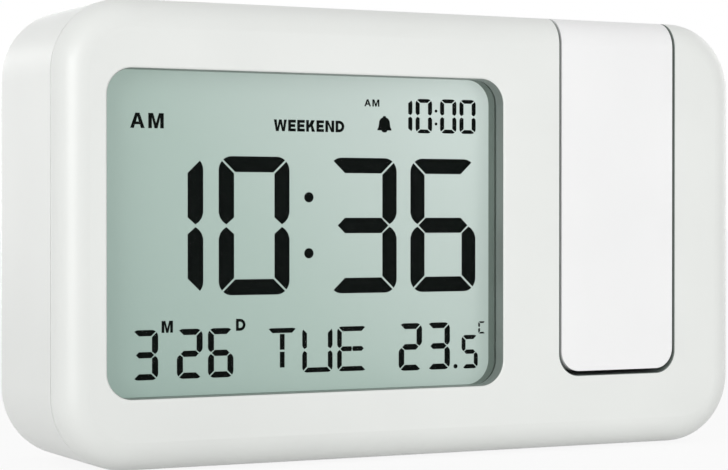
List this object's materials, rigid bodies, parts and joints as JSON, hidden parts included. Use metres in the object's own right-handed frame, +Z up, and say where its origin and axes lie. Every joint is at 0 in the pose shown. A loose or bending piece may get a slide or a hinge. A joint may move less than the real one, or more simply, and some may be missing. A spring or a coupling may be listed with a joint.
{
  "type": "projection alarm clock",
  "caption": "White desk clock with a large display window, a flip-up projector arm folded flush into the front, a snooze bar on top and keys and a battery door behind.",
  "frame": {"origin": "centre of the footprint, on the surface that the rubber feet stand on", "axes": "+Z up, the display faces -Y, +X to the viewer's right"},
  "size_m": [0.145, 0.0364, 0.086],
  "materials": {
    "white_plastic": "smooth satin-gloss white moulding",
    "bay_plastic": "matte pale grey moulding",
    "clear_plastic": "clear polished",
    "frame_plastic": "matte dark grey-green",
    "lcd_glass": "reflective grey-green display glass",
    "guide_plastic": "frosted",
    "board_white": "white solder mask",
    "elastomer": "layered dark rubber",
    "circuit_board": "green solder mask",
    "black_plastic": "fine matte black moulding",
    "plated_steel": "bright zinc plate",
    "cable_grey": "soft sheath",
    "cable_black": "soft sheath",
    "cell_jacket": "printed film, bare",
    "foot_rubber": "soft matte rubber",
    "bush_nylon": "natural nylon",
    "led_resin": "tinted clear resin",
    "dark_glass": "dark display glass",
    "film_amber": "thin amber film",
    "key_plastic": "satin light grey moulding"
  },
  "bodies": {
    "case": {"front_bezel": "white_plastic", "rear_case": "white_plastic", "arm_bay": "bay_plastic", "window_lens": "clear_plastic", "lcd_frame": "frame_plastic", "lcd_panel": "lcd_glass", "light_guide": "guide_plastic", "backlight_strip": "board_white", "contact_strips": "elastomer", "main_board": "circuit_board", "clock_chip": "black_plastic", "crystal": "plated_steel", "buzzer": "black_plastic", "temperature_sensor": "black_plastic", "key_board": "circuit_board", "key_switches": "plated_steel", "slide_switch_body": "plated_steel", "snooze_board": "circuit_board", "snooze_switch": "plated_steel", "power_board": "circuit_board", "power_inlet": "plated_steel", "flat_cable": "cable_grey", "case_lead": "cable_black", "backup_cells": "cell_jacket", "contact_springs": "plated_steel", "contact_plates": "plated_steel", "case_screws": "plated_steel", "board_screws": "plated_steel", "bay_screws": "plated_steel", "key_board_screws": "plated_steel", "rubber_feet": "foot_rubber", "hinge_bushes": "bush_nylon"},
    "snooze": {"snooze_bar": "white_plastic"},
    "rear_key_1": {"key_1": "key_plastic"},
    "rear_key_2": {"key_2": "key_plastic"},
    "rear_key_3": {"key_3": "key_plastic"},
    "rear_key_4": {"key_4": "key_plastic"},
    "rear_key_5": {"key_5": "key_plastic"},
    "slider": {"slide_knob": "black_plastic"},
    "door": {"battery_door": "white_plastic"},
    "arm": {"arm_front_shell": "white_plastic", "arm_rear_shell": "white_plastic", "arm_screws": "plated_steel", "hinge_tube": "plated_steel", "friction_washer": "plated_steel", "retaining_clip": "plated_steel", "optical_housing": "black_plastic", "projector_led": "led_resin", "led_board": "circuit_board", "condenser_lens": "clear_plastic", "projector_lcd": "dark_glass", "arm_flex": "film_amber", "arm_lead": "cable_black"},
    "ring": {"focus_ring": "black_plastic"},
    "barrel": {"lens_barrel": "black_plastic", "projection_lens": "clear_plastic"}
  },
  "joints": [
    {"name": "arm_hinge", "type": "hinge", "parent": "case", "child": "arm", "pos_m": [0.04355, -0.01025, 0.0774], "axis": [-1, 0, 0], "range_deg": [0, 180]},
    {"name": "focus_turn", "type": "hinge", "parent": "arm", "child": "ring", "pos_m": [0.04355, -0.00895, 0.0294], "axis": [0, 0, 1], "range_deg": [-90, 90]},
    {"name": "barrel_slide", "type": "slide", "parent": "arm", "child": "barrel", "axis": [0, 0, -1], "range_m": [-0.0015, 0.0015]},
    {"name": "snooze_press", "type": "slide", "parent": "case", "child": "snooze", "axis": [0, 0, -1], "range_m": [0, 0.0008], "stiffness_N_per_m": 800, "springref_m": -0.0005},
    {"name": "slide_switch", "type": "slide", "parent": "case", "child": "slider", "axis": [1, 0, 0], "range_m": [-0.002, 0.002]},
    {"name": "door_hinge", "type": "hinge", "parent": "case", "child": "door", "pos_m": [-0.0237, 0.01685, 0.0085], "axis": [-1, 0, 0], "range_deg": [0, 80]},
    {"name": "key_1_press", "type": "slide", "parent": "case", "child": "rear_key_1", "axis": [0, -1, 0], "range_m": [0, 0.0005], "stiffness_N_per_m": 800, "springref_m": -0.0003},
    {"name": "key_2_press", "type": "slide", "parent": "case", "child": "rear_key_2", "axis": [0, -1, 0], "range_m": [0, 0.0005], "stiffness_N_per_m": 800, "springref_m": -0.0003},
    {"name": "key_3_press", "type": "slide", "parent": "case", "child": "rear_key_3", "axis": [0, -1, 0], "range_m": [0, 0.0005], "stiffness_N_per_m": 800, "springref_m": -0.0003},
    {"name": "key_4_press", "type": "slide", "parent": "case", "child": "rear_key_4", "axis": [0, -1, 0], "range_m": [0, 0.0005], "stiffness_N_per_m": 800, "springref_m": -0.0003},
    {"name": "key_5_press", "type": "slide", "parent": "case", "child": "rear_key_5", "axis": [0, -1, 0], "range_m": [0, 0.0005], "stiffness_N_per_m": 800, "springref_m": -0.0003}
  ],
  "couplings": [
    {"joint": "focus_turn", "follows": "barrel_slide", "rad_per_m": 1047.2}
  ]
}
